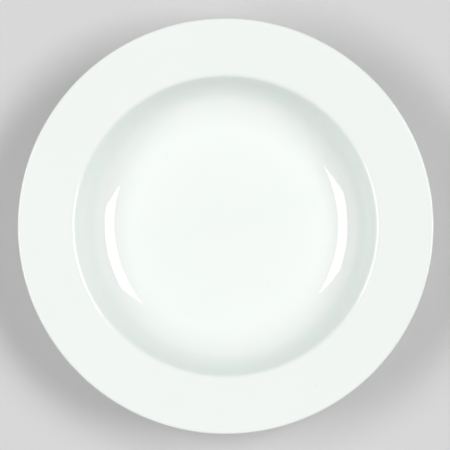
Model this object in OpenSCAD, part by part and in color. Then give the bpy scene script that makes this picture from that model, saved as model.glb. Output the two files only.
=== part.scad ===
// Rimmed soup plate: one turned clay body on a foot ring, and the two skins of glaze that are melted onto it.
// Millimetres, +Z up. The origin is the centre of the foot ring, on the plane that the plate stands on.

/* [Rim] */
// Diameter of the finished plate over its lip
plate_d = 230; // [210:1:260]
// Slope of the rim's face, in degrees
rim_slope = 10; // [4:0.5:18]
// Thickness of the clay at the rim's root, beside the shoulder
rim_root_t = 3.2; // [2.4:0.1:4.2]
// Thickness of the clay at the rim's outer edge
rim_edge_t = 2.4; // [1.8:0.1:3.4]
// Share of the edge's thickness that each of the lip's two round corners takes as its radius
lip_round_share = 0.33; // [0.2:0.01:0.49]

/* [Well] */
// Diameter at which the rim's face and the wall would meet in a sharp corner
mouth_d = 167.3; // [150:0.1:176]
// Depth of the well from that corner to its flat floor
well_depth = 22.1; // [17:0.1:30]
// Slope of the wall between the shoulder and the cove, in degrees
wall_slope = 62; // [50:0.5:70]
// Radius of the shoulder, where the rim turns down into the well
shoulder_r = 3.5; // [2.5:0.1:7]
// Radius of the cove, where the wall runs out into the floor
cove_r = 30; // [18:0.5:34]
// Thickness of the clay along the wall and the cove
wall_t = 3.3; // [2.4:0.1:4.4]
// Thickness of the clay at the floor
floor_t = 3.7; // [2.8:0.1:5]
// Radius of the hollow under the shoulder, on the plate's back
throat_r = 5; // [2:0.5:8]

/* [Foot ring] */
// Diameter of the foot ring, halfway through its thickness where it stands
foot_d = 120; // [96:1:136]
// Height of the recess inside the foot ring, before glazing
foot_h = 3.5; // [2.6:0.1:6]
// Thickness of the foot ring where it stands
foot_t = 4; // [3:0.1:6]
// Lean of the ring's two sides from upright, in degrees
foot_draft = 10; // [2:1:20]
// Radius of the two edges that the plate stands between
foot_edge_r = 1; // [0.5:0.1:1.5]
// Radius where the ring's outer side runs into the plate's back
foot_fillet_r = 2; // [1:0.1:3]
// Radius where the ring's inner side runs into the recess
recess_fillet_r = 1.5; // [0.8:0.1:3]

/* [Glaze] */
// Thickness of the glaze
glaze_t = 0.3; // [0.15:0.05:0.5]
// Length up each side of the foot ring that is wiped bare before firing
bare_edge = 1.2; // [0.8:0.1:1.6]
// Length over which the glaze thins out to nothing above the bare edge
glaze_lap = 0.4; // [0.2:0.1:0.8]

/* [Roundness] */
// Largest gap between a curve of the section and the short straight steps that draw it
step_gap = 0.01; // [0.005:0.005:0.05]

/* [Hidden] */
$fn = 360;
clay_colour = [0.9, 0.89, 0.85];
glaze_colour = [0.95, 0.97, 0.95];

// Direction at an angle above the level, outward from the plate's axis
function aim(angle) = [cos(angle), sin(angle)];

// Point where the line through p at angle a crosses the line through q at angle b
function crossing(p, a, q, b) = p + aim(a) * cross(q - p, aim(b)) / cross(aim(a), aim(b));

// Arc of radius r that rounds corner b between its neighbours a and c, moved off the clay by lift.
// The clay lies to the left of the way round, so a left turn is a convex edge and its arc grows with lift.
function arc(a, b, c, r, lift) =
    let (
        back = (a - b) / norm(a - b),
        ahead = (c - b) / norm(c - b),
        turn = 180 - acos(back * ahead),
        side = sign(cross(b - a, c - b)),
        centre = b + (back + ahead) / norm(back + ahead) * r / cos(turn / 2),
        start = b + back * r * tan(turn / 2) - centre,
        steps = ceil(turn / acos(1 - step_gap / r) / 2)
    )
    [for (i = [0:steps]) centre + (r + side * lift) * aim(atan2(start.y, start.x) + side * turn * i / steps)];

// Arcs for every corner of a path but its two ends. A corner is a point and the radius that rounds it.
function rounded(corners, lift) =
    [for (i = [1:len(corners) - 2])
        each arc(corners[i - 1][0], corners[i][0], corners[i + 1][0], corners[i][1], lift)];

function reversed(points) = [for (i = [len(points) - 1:-1:0]) points[i]];

// Rim: its face climbs from the shoulder to the lip, and its back thins towards the lip
lip_r = plate_d / 2 - glaze_t;
lip_round_r = rim_edge_t * lip_round_share;
floor_z = foot_h + floor_t;
shoulder = [mouth_d / 2, floor_z + well_depth];
lip_top = crossing(shoulder, rim_slope, [lip_r, 0], 90);
rim_root = shoulder + rim_root_t * aim(rim_slope - 90);
rim_edge = lip_top + rim_edge_t * aim(rim_slope - 90);
rim_back = rim_edge - rim_root;
rim_back_slope = atan2(rim_back.y, rim_back.x);
lip_under = crossing(rim_root, rim_back_slope, [lip_r, 0], 90);

// Well: the cove is as large as asked, unless the wall is too short for it above the floor
wall_foot = crossing(shoulder, wall_slope, [0, floor_z], 0);
shoulder_bend = (wall_slope - rim_slope) / 2;
wall_free = norm(shoulder - wall_foot) - max(shoulder_r, wall_t + throat_r) * tan(shoulder_bend);
cove_fit_r = min(cove_r, wall_free / tan(wall_slope / 2));
cove_centre = [wall_foot.x - cove_fit_r * tan(wall_slope / 2), floor_z + cove_fit_r];
wall_back = shoulder + wall_t * aim(wall_slope - 90);
throat = crossing(wall_back, wall_slope, rim_root, rim_back_slope);

// Foot ring: its fillets and edges are limited by the height and thickness of the ring
foot_outer = [(foot_d + foot_t) / 2, 0];
foot_inner = [(foot_d - foot_t) / 2, 0];
glaze_start = bare_edge + glaze_lap;
foot_edge_fit_r = min(foot_edge_r, bare_edge, foot_t / 2);
recess_fit_r = min(recess_fillet_r, foot_h - glaze_start);
foot_fillet_fit_r = min(foot_fillet_r, floor_z - wall_t - glaze_start);
recess_corner = crossing(foot_inner, 90 + foot_draft, [0, foot_h], 0);

// Back of the well: an arc about the cove's own centre, met by a short straight from the foot ring
back_r = cove_fit_r + wall_t;
back_start_r = foot_outer.x + foot_h * tan(foot_draft) + foot_fillet_fit_r;
back_slope = asin(max(0, back_start_r - cove_centre.x) / back_r);
back_start = cove_centre + back_r * aim(back_slope - 90);
foot_root = crossing(foot_outer, 90 - foot_draft, back_start, back_slope);
back_corner = crossing(back_start, back_slope, wall_back, wall_slope);

// Path from the axis along the recess ceiling and down the foot ring's inner side
recess_corners = [
    [[0, foot_h], 0],
    [recess_corner, recess_fit_r],
    [foot_inner, foot_edge_fit_r]
];

// Path across the bare edge that the plate stands on
bearing_corners = [
    [recess_corner, recess_fit_r],
    [foot_inner, foot_edge_fit_r],
    [foot_outer, foot_edge_fit_r],
    [foot_root, foot_fillet_fit_r]
];

// Path up the foot ring's outer side and the back, round the lip, and down the face to the axis
face_corners = [
    [foot_outer, foot_edge_fit_r],
    [foot_root, foot_fillet_fit_r],
    [back_corner, back_r],
    [throat, throat_r],
    [lip_under, lip_round_r],
    [lip_top, lip_round_r],
    [shoulder, shoulder_r],
    [wall_foot, cove_fit_r],
    [[0, floor_z], 0]
];

// Height up a side of the foot ring at which the skin begins: the clay's surface is bare below the first
// height, and the glaze's own surface begins where it has reached its full thickness
function skin_start(lift) = bare_edge + glaze_lap * lift / glaze_t;

function recess_path(lift) = concat(
    [[0, foot_h - lift]],
    rounded(recess_corners, lift),
    [foot_inner + skin_start(lift) * aim(90 + foot_draft) + lift * aim(180 + foot_draft)]
);

function face_path(lift) = concat(
    [foot_outer + skin_start(lift) * aim(90 - foot_draft) + lift * aim(-foot_draft)],
    rounded(face_corners, lift),
    [[0, floor_z + lift]]
);

module turned(section) {
    rotate_extrude() polygon(section);
}

// Skin of glaze between the clay's surface and the same path lifted by the glaze's thickness
module skin(clay_side, open_side) {
    color(glaze_colour) turned(concat(open_side, reversed(clay_side)));
}

// Fired clay: rim, shoulder, wall, cove, floor and foot ring in one piece
module ceramic_body() {
    color(clay_colour) turned(concat(recess_path(0), rounded(bearing_corners, 0), face_path(0)));
}

// Glaze from the foot ring's outer side over the back, the lip, the rim and the well
module glaze_coat() {
    skin(face_path(0), face_path(glaze_t));
}

// Glaze inside the foot ring
module recess_glaze() {
    skin(recess_path(0), recess_path(glaze_t));
}

ceramic_body();
glaze_coat();
recess_glaze();
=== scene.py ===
"""A rimmed soup plate: one fired clay body, and the two skins of white glaze that are melted onto it."""

from math import atan2, cos, pi, radians, sin, tan

import bpy
import numpy as np
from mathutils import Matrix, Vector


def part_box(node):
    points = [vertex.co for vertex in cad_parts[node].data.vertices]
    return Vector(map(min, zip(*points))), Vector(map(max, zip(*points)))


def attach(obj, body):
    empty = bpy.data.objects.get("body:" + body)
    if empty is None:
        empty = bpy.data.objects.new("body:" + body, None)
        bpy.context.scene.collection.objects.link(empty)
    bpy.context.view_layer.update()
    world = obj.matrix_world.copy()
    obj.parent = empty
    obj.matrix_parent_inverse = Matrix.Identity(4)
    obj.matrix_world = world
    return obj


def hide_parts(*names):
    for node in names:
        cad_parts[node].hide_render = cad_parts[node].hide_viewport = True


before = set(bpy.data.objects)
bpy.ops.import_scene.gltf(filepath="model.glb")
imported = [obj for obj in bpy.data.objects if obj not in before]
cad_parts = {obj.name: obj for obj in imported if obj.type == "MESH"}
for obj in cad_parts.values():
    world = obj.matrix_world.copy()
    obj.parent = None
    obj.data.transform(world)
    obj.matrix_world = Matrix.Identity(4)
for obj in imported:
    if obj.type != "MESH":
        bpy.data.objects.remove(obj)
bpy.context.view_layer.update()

# Clay body
# Rim, shoulder, wall, cove, floor and foot ring are one slab of white clay, pressed on a turning mould,
# dried, sponged at its edges and fired hard. It shows only at the foot's bearing edge, which is wiped bare.

lip_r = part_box("ceramic_body")[1].x
rim_slope = radians(10)
rim_root_t = 0.0032
rim_edge_t = 0.0024
lip_round_share = 0.33
lip_round_r = lip_round_share * rim_edge_t
mouth_r = 0.08365
well_depth = 0.0221
wall_slope = radians(62)
wall_t = 0.0033
floor_t = 0.0037
shoulder_r = 0.0035
throat_r = 0.005
cove_r = 0.030
foot_mid_r = 0.060
foot_h = 0.0035
foot_t = 0.004
foot_draft = radians(10)
foot_edge_r = 0.001
foot_fillet_r = 0.002
recess_fillet_r = 0.0015
bare_edge = 0.0012
glaze_bead = 0.0006

pale_clay = (0.82, 0.79, 0.72)
plain_clay = (0.74, 0.71, 0.64)
stained_clay = (0.52, 0.49, 0.44)
iron_speck = (0.34, 0.29, 0.23)

# How finely the surfaces are stepped: up a glaze line, round the axis, along arcs and along straights
bead_rows = 8
directions = 288
arc_turn = radians(6)
arc_run = 0.0012
straight_run = 0.003


def aim(angle):
    """Unit step at an angle above the level, outward from the axis."""
    return np.array([cos(angle), sin(angle)])


def crossing(p, a, q, b):
    """Point where the line through p at angle a meets the line through q at angle b: the way from p is the
    ratio of two cross products."""
    u, v, gap = aim(a), aim(b), np.subtract(q, p)
    return p + u * (gap[0] * v[1] - gap[1] * v[0]) / (u[0] * v[1] - u[1] * v[0])


def arc(a, b, c, r):
    """Arc of radius r that rounds corner b between its neighbours a and c.
    Its centre is on the line that halves the corner, r over the cosine of half the turn away from b.
    Each row holds a point and the direction out of the clay, which lies to the left of the way round."""
    back, ahead = (a - b) / np.linalg.norm(a - b), (c - b) / np.linalg.norm(c - b)
    turn = pi - np.arccos(back @ ahead)
    side = np.sign(back[1] * ahead[0] - back[0] * ahead[1])
    half = (back + ahead) / np.linalg.norm(back + ahead)
    centre = b + half * r / cos(turn / 2)
    first = b + back * r * tan(turn / 2) - centre
    parts = 1 + int(max(turn / arc_turn, turn * r / arc_run))
    angle = atan2(first[1], first[0]) + side * turn * np.linspace(0, 1, parts + 1)
    spoke = np.stack([np.cos(angle), np.sin(angle)], axis=1)
    return np.hstack([centre + r * spoke, side * spoke])


def rounded(corners):
    """Arcs for every corner but a path's two ends. A corner is a point and the radius that rounds it."""
    places = [np.array(place) for place, _ in corners]
    return np.vstack([arc(*places[i - 1 : i + 2], corners[i][1]) for i in range(1, len(corners) - 1)])


def side_rows(corner, lean, way_out):
    """Rows on a side of the foot ring from the bare edge upward, closest where the glaze begins to swell:
    their spacing grows with the square of the count."""
    up = bare_edge + glaze_bead * np.linspace(0, 1, bead_rows)[:, None] ** 2
    return np.hstack([corner + up * aim(lean), aim(way_out) + 0 * up])


def with_steps(path):
    """The path with evenly spaced rows along each straight that is longer than the straight run."""
    length = np.hypot(*np.diff(path[:, :2], axis=0).T)
    parts = np.ceil(length / straight_run).astype(int).clip(1)
    start = np.repeat(np.arange(len(parts)), parts)
    share = (np.arange(parts.sum()) - np.repeat(np.cumsum(parts) - parts, parts)) / parts[start]
    return np.vstack([path[start] + share[:, None] * (path[start + 1] - path[start]), path[-1:]])


floor_z = foot_h + floor_t
shoulder = np.array([mouth_r, floor_z + well_depth])
lip_top = crossing(shoulder, rim_slope, [lip_r, 0], pi / 2)
rim_root = shoulder + rim_root_t * aim(rim_slope - pi / 2)
rim_back = lip_top + rim_edge_t * aim(rim_slope - pi / 2) - rim_root
rim_back_slope = atan2(rim_back[1], rim_back[0])
lip_under = crossing(rim_root, rim_back_slope, [lip_r, 0], pi / 2)
wall_foot = crossing(shoulder, wall_slope, [0, floor_z], 0)
wall_back = shoulder + wall_t * aim(wall_slope - pi / 2)
throat = crossing(wall_back, wall_slope, rim_root, rim_back_slope)
cove_centre = wall_foot + cove_r * np.array([-tan(wall_slope / 2), 1])
foot_outer = np.array([foot_mid_r + foot_t / 2, 0])
foot_inner = np.array([foot_mid_r - foot_t / 2, 0])
recess_corner = crossing(foot_inner, pi / 2 + foot_draft, [0, foot_h], 0)
back_r = cove_r + wall_t
back_start_r = foot_outer[0] + foot_h * tan(foot_draft) + foot_fillet_r
back_slope = np.arcsin((back_start_r - cove_centre[0]) / back_r)
back_start = cove_centre + back_r * aim(back_slope - pi / 2)
foot_root = crossing(foot_outer, pi / 2 - foot_draft, back_start, back_slope)
back_corner = crossing(back_start, back_slope, wall_back, wall_slope)

# The recess and the face both run from a glaze line on the foot ring to the axis.
# The bearing edge lies between the two glaze lines.
recess_path = with_steps(np.vstack([
    [0, foot_h, 0, -1],
    rounded([([0, foot_h], 0), (recess_corner, recess_fillet_r), (foot_inner, 0)]),
    side_rows(foot_inner, pi / 2 + foot_draft, pi + foot_draft)[::-1],
]))[::-1]
bearing_path = rounded([
    (recess_corner, 0), (foot_inner, foot_edge_r), (foot_outer, foot_edge_r), (foot_root, 0),
])
face_path = with_steps(np.vstack([
    side_rows(foot_outer, pi / 2 - foot_draft, -foot_draft),
    rounded([
        (foot_outer, 0), (foot_root, foot_fillet_r), (back_corner, back_r), (throat, throat_r),
        (lip_under, lip_round_r), (lip_top, lip_round_r), (shoulder, shoulder_r), (wall_foot, cove_r),
        ([0, floor_z], 0),
    ]),
    [0, floor_z, 0, 1],
]))

around = np.linspace(0, 2 * pi, directions, endpoint=False)


def turned(name, r, z):
    """Closed surface made by turning a section about the axis. Rows of r and z follow the section from axis
    to axis and columns go round it. A point is r times the cosine and sine of its direction, at height z.
    The first and last rows shrink to one point each, and every other pair of rows is joined by squares."""
    rings, count = len(r) - 2, len(around)
    ring_points = np.stack([r * np.cos(around), r * np.sin(around), z], axis=2)[1:-1].reshape(-1, 3)
    ends = [[0, 0, z[0].mean()], [0, 0, z[-1].mean()]]
    here = np.arange(count)
    after = np.roll(here, -1)
    low = np.arange(rings - 1)[:, None] * count
    high = low + count
    squares = np.stack([low + here, low + after, high + after, high + here], axis=2).reshape(-1, 4)
    last = (rings - 1) * count
    start_fan = np.stack([np.full(count, rings * count), after, here], axis=1)
    end_fan = np.stack([np.full(count, rings * count + 1), last + here, last + after], axis=1)
    faces = [*squares.tolist(), *start_fan.tolist(), *end_fan.tolist()]
    mesh = bpy.data.meshes.new(name)
    mesh.from_pydata(np.vstack([ring_points, ends]).tolist(), [], faces)
    mesh.shade_smooth()
    piece = bpy.data.objects.new(name, mesh)
    bpy.context.scene.collection.objects.link(piece)
    return piece


class Shade:
    """A value in a material's nodes. Python sums on it add Math nodes, and node() adds any other node."""

    def __init__(self, tree, socket=None):
        self.tree, self.socket = tree, socket

    def node(self, kind, settings=None, inputs=None, output=0):
        """Adds a node of this type, sets it up, fills or links its inputs and gives one output."""
        made = self.tree.nodes.new(kind)
        for key, value in (settings or {}).items():
            setattr(made, key, value)
        for key, value in (inputs or {}).items():
            self.feed(made.inputs[key], value)
        return Shade(self.tree, made.outputs[output])

    def feed(self, entry, value):
        """Links a value of these nodes to a socket, or sets it to a plain number, colour or vector."""
        if isinstance(value, Shade):
            self.tree.links.new(value.socket, entry)
        else:
            entry.default_value = (*value, 1) if entry.type == "RGBA" else value

    def math(self, operation, a, b):
        """Adds a Math node on two values."""
        return self.node("ShaderNodeMath", {"operation": operation}, {0: a, 1: b})

    def __add__(self, other):
        return self.math("ADD", self, other)

    def __sub__(self, other):
        return self.math("SUBTRACT", self, other)

    def __rsub__(self, other):
        return self.math("SUBTRACT", other, self)

    def __mul__(self, other):
        return self.math("MULTIPLY", self, other)

    __radd__ = __add__

    def smooth(self, low, high):
        """0 where this value is at low, 1 where it is at high, and an S between them."""
        settings = {"interpolation_type": "SMOOTHSTEP"}
        return self.node("ShaderNodeMapRange", settings, {"Value": self, "From Min": low, "From Max": high})

    def tint(self, plain, full):
        """Colour that goes from plain to full as this value goes from 0 to 1."""
        return self.node("ShaderNodeMix", {"data_type": "RGBA"}, {"Factor": self, 6: plain, 7: full}, 2)


def new_finish(name):
    """A new material, its Principled shader, its nodes and the place of each point on the piece."""
    material = bpy.data.materials.new(name)
    material.use_nodes = True
    nodes = Shade(material.node_tree)
    place = nodes.node("ShaderNodeTexCoord", output="Object")
    return material, material.node_tree.nodes["Principled BSDF"], nodes, place


body_path = np.vstack([recess_path[::-1], bearing_path, face_path])
clay_body = turned("clay_body", body_path[:, 0:1] + 0 * around, body_path[:, 1:2] + 0 * around)

clay_material, clay_shader, clay, place = new_finish("bare fired clay")
grain = clay.node(
    "ShaderNodeTexNoise", inputs={"Vector": place, "Scale": 2600, "Detail": 4, "Roughness": 0.7}
)
blotch = clay.node("ShaderNodeTexNoise", inputs={"Vector": place, "Scale": 90, "Detail": 3})
grit = clay.node("ShaderNodeTexVoronoi", inputs={"Vector": place, "Scale": 900}).smooth(0.16, 0.08)
worn = blotch.smooth(0.45, 0.7).tint(plain_clay, stained_clay)
grained = (grain.smooth(0.35, 0.65) * 0.5).tint(worn, pale_clay)
clay.feed(clay_shader.inputs["Base Color"], (grit * 0.5).tint(grained, iron_speck))
clay.feed(clay_shader.inputs["Roughness"], 0.86 - blotch * 0.16)

# Reliefs are heights in millimetres.
millimetre = 0.001
clay_height = grain * 0.03 - grit * 0.05
clay_relief = clay.node("ShaderNodeBump", inputs={"Height": clay_height, "Distance": millimetre})
clay.feed(clay_shader.inputs["Normal"], clay_relief)
clay_shader.inputs["IOR"].default_value = 1.45
clay_body.data.materials.append(clay_material)
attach(clay_body, "root")
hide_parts("ceramic_body")

# Glaze coat
# White glass, a third of a millimetre thick, over all that the eye meets: the back, the lip, the rim and
# the well. The fired clay is dipped in liquid glaze, its foot is wiped, and a second firing melts it on.

glaze_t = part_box("glaze_coat")[1].x - lip_r
lip_thin_run = 0.003
lip_thin_share = 0.12

# Waves of the glaze line: how many go round the foot ring, their share of the wander, and where they start
wander = 0.00012
line_waves = [(3, 0.5, 1), (7, 0.3, 4), (16, 0.2, 0)]

# Slow waves in the glaze: radians in a metre east and in a metre north, and where they start
wave_height = 0.000012
slow_waves = [(160, 90, 1), (-70, 190, 0), (240, -130, 0)]

# Painted shade: the glaze colour is darker and greener on the well wall, from the upper cove to the
# shoulder, where shade falls.
wall_shade_starts_r = 0.070
wall_shade_full_r = 0.0785
wall_shade_thins_r = 0.0820
wall_shade_ends_r = 0.0845
lip_tint_run = 0.0016

cool_white = (0.856, 0.897, 0.868)
clear_white = (0.868, 0.902, 0.877)
wall_shade_white = (0.804, 0.865, 0.830)
lip_cream = (0.80, 0.79, 0.73)
pinhole_brown = (0.36, 0.31, 0.24)


def skin_of_glaze(name, path, lean):
    """Closed skin of glass on a path over the clay: the path itself, and the same path lifted off the clay.
    From the glaze line the lift swells like a quarter of a round bead. Over the lip's curve it thins by a
    bell of the distance from the plate's edge, and slow waves across the plate take a little off it. The
    glaze line wanders along the foot ring's side, which leans at the given angle, by the sum of its waves,
    and the wander dies out within a few beads of the line."""
    run = np.concatenate([[0], np.cumsum(np.hypot(*np.diff(path[:, :2], axis=0).T))])[:, None]
    drift = wander * sum(share * np.sin(count * around + start) for count, share, start in line_waves)
    drift = drift * (1 - run / (4 * glaze_bead)).clip(0, 1) ** 2
    r, z = path[:, 0:1] + cos(lean) * drift, path[:, 1:2] + sin(lean) * drift
    east, north = r * np.cos(around), r * np.sin(around)
    dips = sum(
        1 - np.sin(to_east * east + to_north * north + start) for to_east, to_north, start in slow_waves
    )
    bead = np.sqrt(1 - (1 - (run / glaze_bead).clip(0, 1)) ** 2)
    thin = lip_thin_share * np.exp(-(((r - lip_r) / lip_thin_run) ** 2))
    lift = bead * (glaze_t * (1 - thin) - wave_height * dips / (2 * len(slow_waves)))
    open_r, open_z = r + path[:, 2:3] * lift, z + path[:, 3:4] * lift
    # The open side ends looking up on the face, and down in the recess, where the section is reversed.
    way_round = int(np.sign(path[-1, 3]))
    return turned(
        name,
        np.vstack([r[::-1], open_r[1:]])[::way_round],
        np.vstack([z[::-1], open_z[1:]])[::way_round],
    )


glaze_coat = skin_of_glaze("white_glaze_coat", face_path, pi / 2 - foot_draft)

glaze_material, glaze_shader, glaze, place = new_finish("white glaze")
level = glaze.node("ShaderNodeVectorMath", {"operation": "MULTIPLY"}, {0: place, 1: (1, 1, 0)})
radius = glaze.node("ShaderNodeVectorMath", {"operation": "LENGTH"}, {0: level}, "Value")
pooling = glaze.node("ShaderNodeTexNoise", inputs={"Vector": place, "Scale": 24, "Detail": 2})
slow_wave = glaze.node("ShaderNodeTexNoise", inputs={"Vector": place, "Scale": 70, "Detail": 1})
orange_peel = glaze.node("ShaderNodeTexNoise", inputs={"Vector": place, "Scale": 420, "Detail": 1})
pinhole = glaze.node("ShaderNodeTexVoronoi", inputs={"Vector": place, "Scale": 70}).smooth(0.020, 0.008)
# Painted shade: a band over the well wall, from the upper cove to the shoulder, is tinted darker and
# greener.
painted_wall_shade = radius.smooth(wall_shade_starts_r, wall_shade_full_r) * radius.smooth(wall_shade_ends_r, wall_shade_thins_r)
pooled = pooling.smooth(0.3, 0.7).tint(cool_white, clear_white)
wall_shaded = painted_wall_shade.tint(pooled, wall_shade_white)
edged = (radius.smooth(lip_r - lip_tint_run, lip_r) * 0.25).tint(wall_shaded, lip_cream)
glaze.feed(glaze_shader.inputs["Base Color"], (pinhole * 0.7).tint(edged, pinhole_brown))
glaze.feed(glaze_shader.inputs["Roughness"], 0.045 + pooling * 0.03 + pinhole * 0.2)
glaze_height = slow_wave * 0.010 + orange_peel * 0.0012 - pinhole * 0.02
glaze_relief = glaze.node("ShaderNodeBump", inputs={"Height": glaze_height, "Distance": millimetre})
glaze.feed(glaze_shader.inputs["Normal"], glaze_relief)
glaze_shader.inputs["IOR"].default_value = 1.52
glaze_coat.data.materials.append(glaze_material)
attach(glaze_coat, "root")
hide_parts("glaze_coat")

# Recess glaze
# The same white glass inside the foot ring, on the recess ceiling and the ring's inner side. The bare
# bearing edge parts it from the coat, so that the plate doesn't fuse to the kiln shelf.

recess_glaze = skin_of_glaze("white_recess_glaze", recess_path, pi / 2 + foot_draft)
recess_glaze.data.materials.append(glaze_material)
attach(recess_glaze, "root")
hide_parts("recess_glaze")

# Studio
# A plain pale floor that fades into an even surround of the same tone. Two soft boxes hang halfway up the
# sky on the plate's left and right, weak ones stand in front and low at both sides, and the camera looks
# straight down.

surround = 0.65
fill = 0.27
floor_half = 12.0
floor_gap = 0.00005
fade_start = 0.8
fade_end = 2.4


def seen(nodes):
    """Sum of three flags: 1 for a ray from the camera, a mirrored or a bent one, 0 for scattered light."""
    from_camera = nodes.node("ShaderNodeLightPath", output="Is Camera Ray")
    mirrored = nodes.node("ShaderNodeLightPath", output="Is Glossy Ray")
    bent = nodes.node("ShaderNodeLightPath", output="Is Transmission Ray")
    return from_camera + mirrored + bent


floor_corners = floor_half * np.array([[-1, -1], [1, -1], [1, 1], [-1, 1]])
floor_mesh = bpy.data.meshes.new("studio_floor")
floor_mesh.from_pydata([(*corner, -floor_gap) for corner in floor_corners], [], [(0, 1, 2, 3)])
studio_floor = bpy.data.objects.new("studio_floor", floor_mesh)
bpy.context.scene.collection.objects.link(studio_floor)
floor_material, floor_shader, ground, place = new_finish("pale studio floor")
floor_shader.inputs["Base Color"].default_value = (surround, surround, surround, 1)
floor_shader.inputs["Roughness"].default_value = 0.9
floor_shader.inputs["Specular IOR Level"].default_value = 0.2
distance = ground.node("ShaderNodeVectorMath", {"operation": "LENGTH"}, {0: place}, "Value")
far_glow = ground.node("ShaderNodeEmission", inputs={"Strength": surround})
faded = ground.node("ShaderNodeMixShader", inputs={
    0: distance.smooth(fade_start, fade_end) * seen(ground),
    1: Shade(ground.tree, floor_shader.outputs["BSDF"]),
    2: far_glow,
})
ground.feed(floor_material.node_tree.nodes["Material Output"].inputs["Surface"], faded)
floor_mesh.materials.append(floor_material)

world = bpy.data.worlds.new("pale surround")
world.use_nodes = True
sky = Shade(world.node_tree)
lit = sky.node("ShaderNodeBackground", inputs={"Color": (1, 1, 1), "Strength": fill})
viewed = sky.node("ShaderNodeBackground", inputs={"Color": (1, 1, 1), "Strength": surround})
both = sky.node("ShaderNodeMixShader", inputs={0: seen(sky), 1: lit, 2: viewed})
sky.feed(world.node_tree.nodes["World Output"].inputs["Surface"], both)
bpy.context.scene.world = world


def soft_box(name, glow, direction, rise, distance, lean, size):
    """Flat lamp in a direction round the plate and at a rise above the level. It leans from facing straight
    down towards the plate, and its size is measured along the lean and across it. Its power is its
    brightness times pi times its area."""
    light = bpy.data.lights.new(name, "AREA")
    light.shape = "RECTANGLE"
    light.size, light.size_y = size
    light.energy = glow * pi * size[0] * size[1]
    lamp = bpy.data.objects.new(name, light)
    out, height = distance * aim(rise)
    lamp.location = (out * cos(direction), out * sin(direction), height)
    lamp.rotation_euler = (0, lean, direction)
    lamp.visible_camera = False
    bpy.context.scene.collection.objects.link(lamp)


soft_box(
    "left soft box", glow=6.15,
    direction=radians(177.4), rise=radians(44.2), distance=3.0, lean=radians(4), size=(1.44, 1.96),
)
soft_box(
    "right soft box", glow=8.4,
    direction=radians(10.8), rise=radians(48.1), distance=3.0, lean=radians(22), size=(1.14, 1.84),
)
soft_box(
    "front soft box", glow=0.3,
    direction=radians(-90), rise=radians(35), distance=4.0, lean=radians(55), size=(3.0, 3.0),
)
soft_box(
    "low left soft box", glow=0.42,
    direction=radians(180), rise=radians(14), distance=4.0, lean=radians(76), size=(1.8, 4.0),
)
soft_box(
    "low right soft box", glow=0.35,
    direction=radians(0), rise=radians(14), distance=4.0, lean=radians(76), size=(1.8, 4.0),
)

# The camera's height is free, and the plate's centre and radius in pixels set its place and its lens.
frame_px = 450
plate_px = (225.68, 226.15)
plate_radius_px = 207.95
lip_z = (lip_top[1] + lip_under[1]) / 2
camera_height = 1.5
metres_per_px = (lip_r + glaze_t) / plate_radius_px
view = bpy.data.cameras.new("overhead camera")
view.lens = view.sensor_width * camera_height / (frame_px * metres_per_px)
view.clip_end = 50
camera = bpy.data.objects.new("overhead camera", view)
camera.location = (
    (frame_px / 2 - plate_px[0]) * metres_per_px,
    (plate_px[1] - frame_px / 2) * metres_per_px,
    lip_z + camera_height,
)
bpy.context.scene.collection.objects.link(camera)
bpy.context.scene.camera = camera
bpy.context.scene.view_settings.view_transform = "Standard"
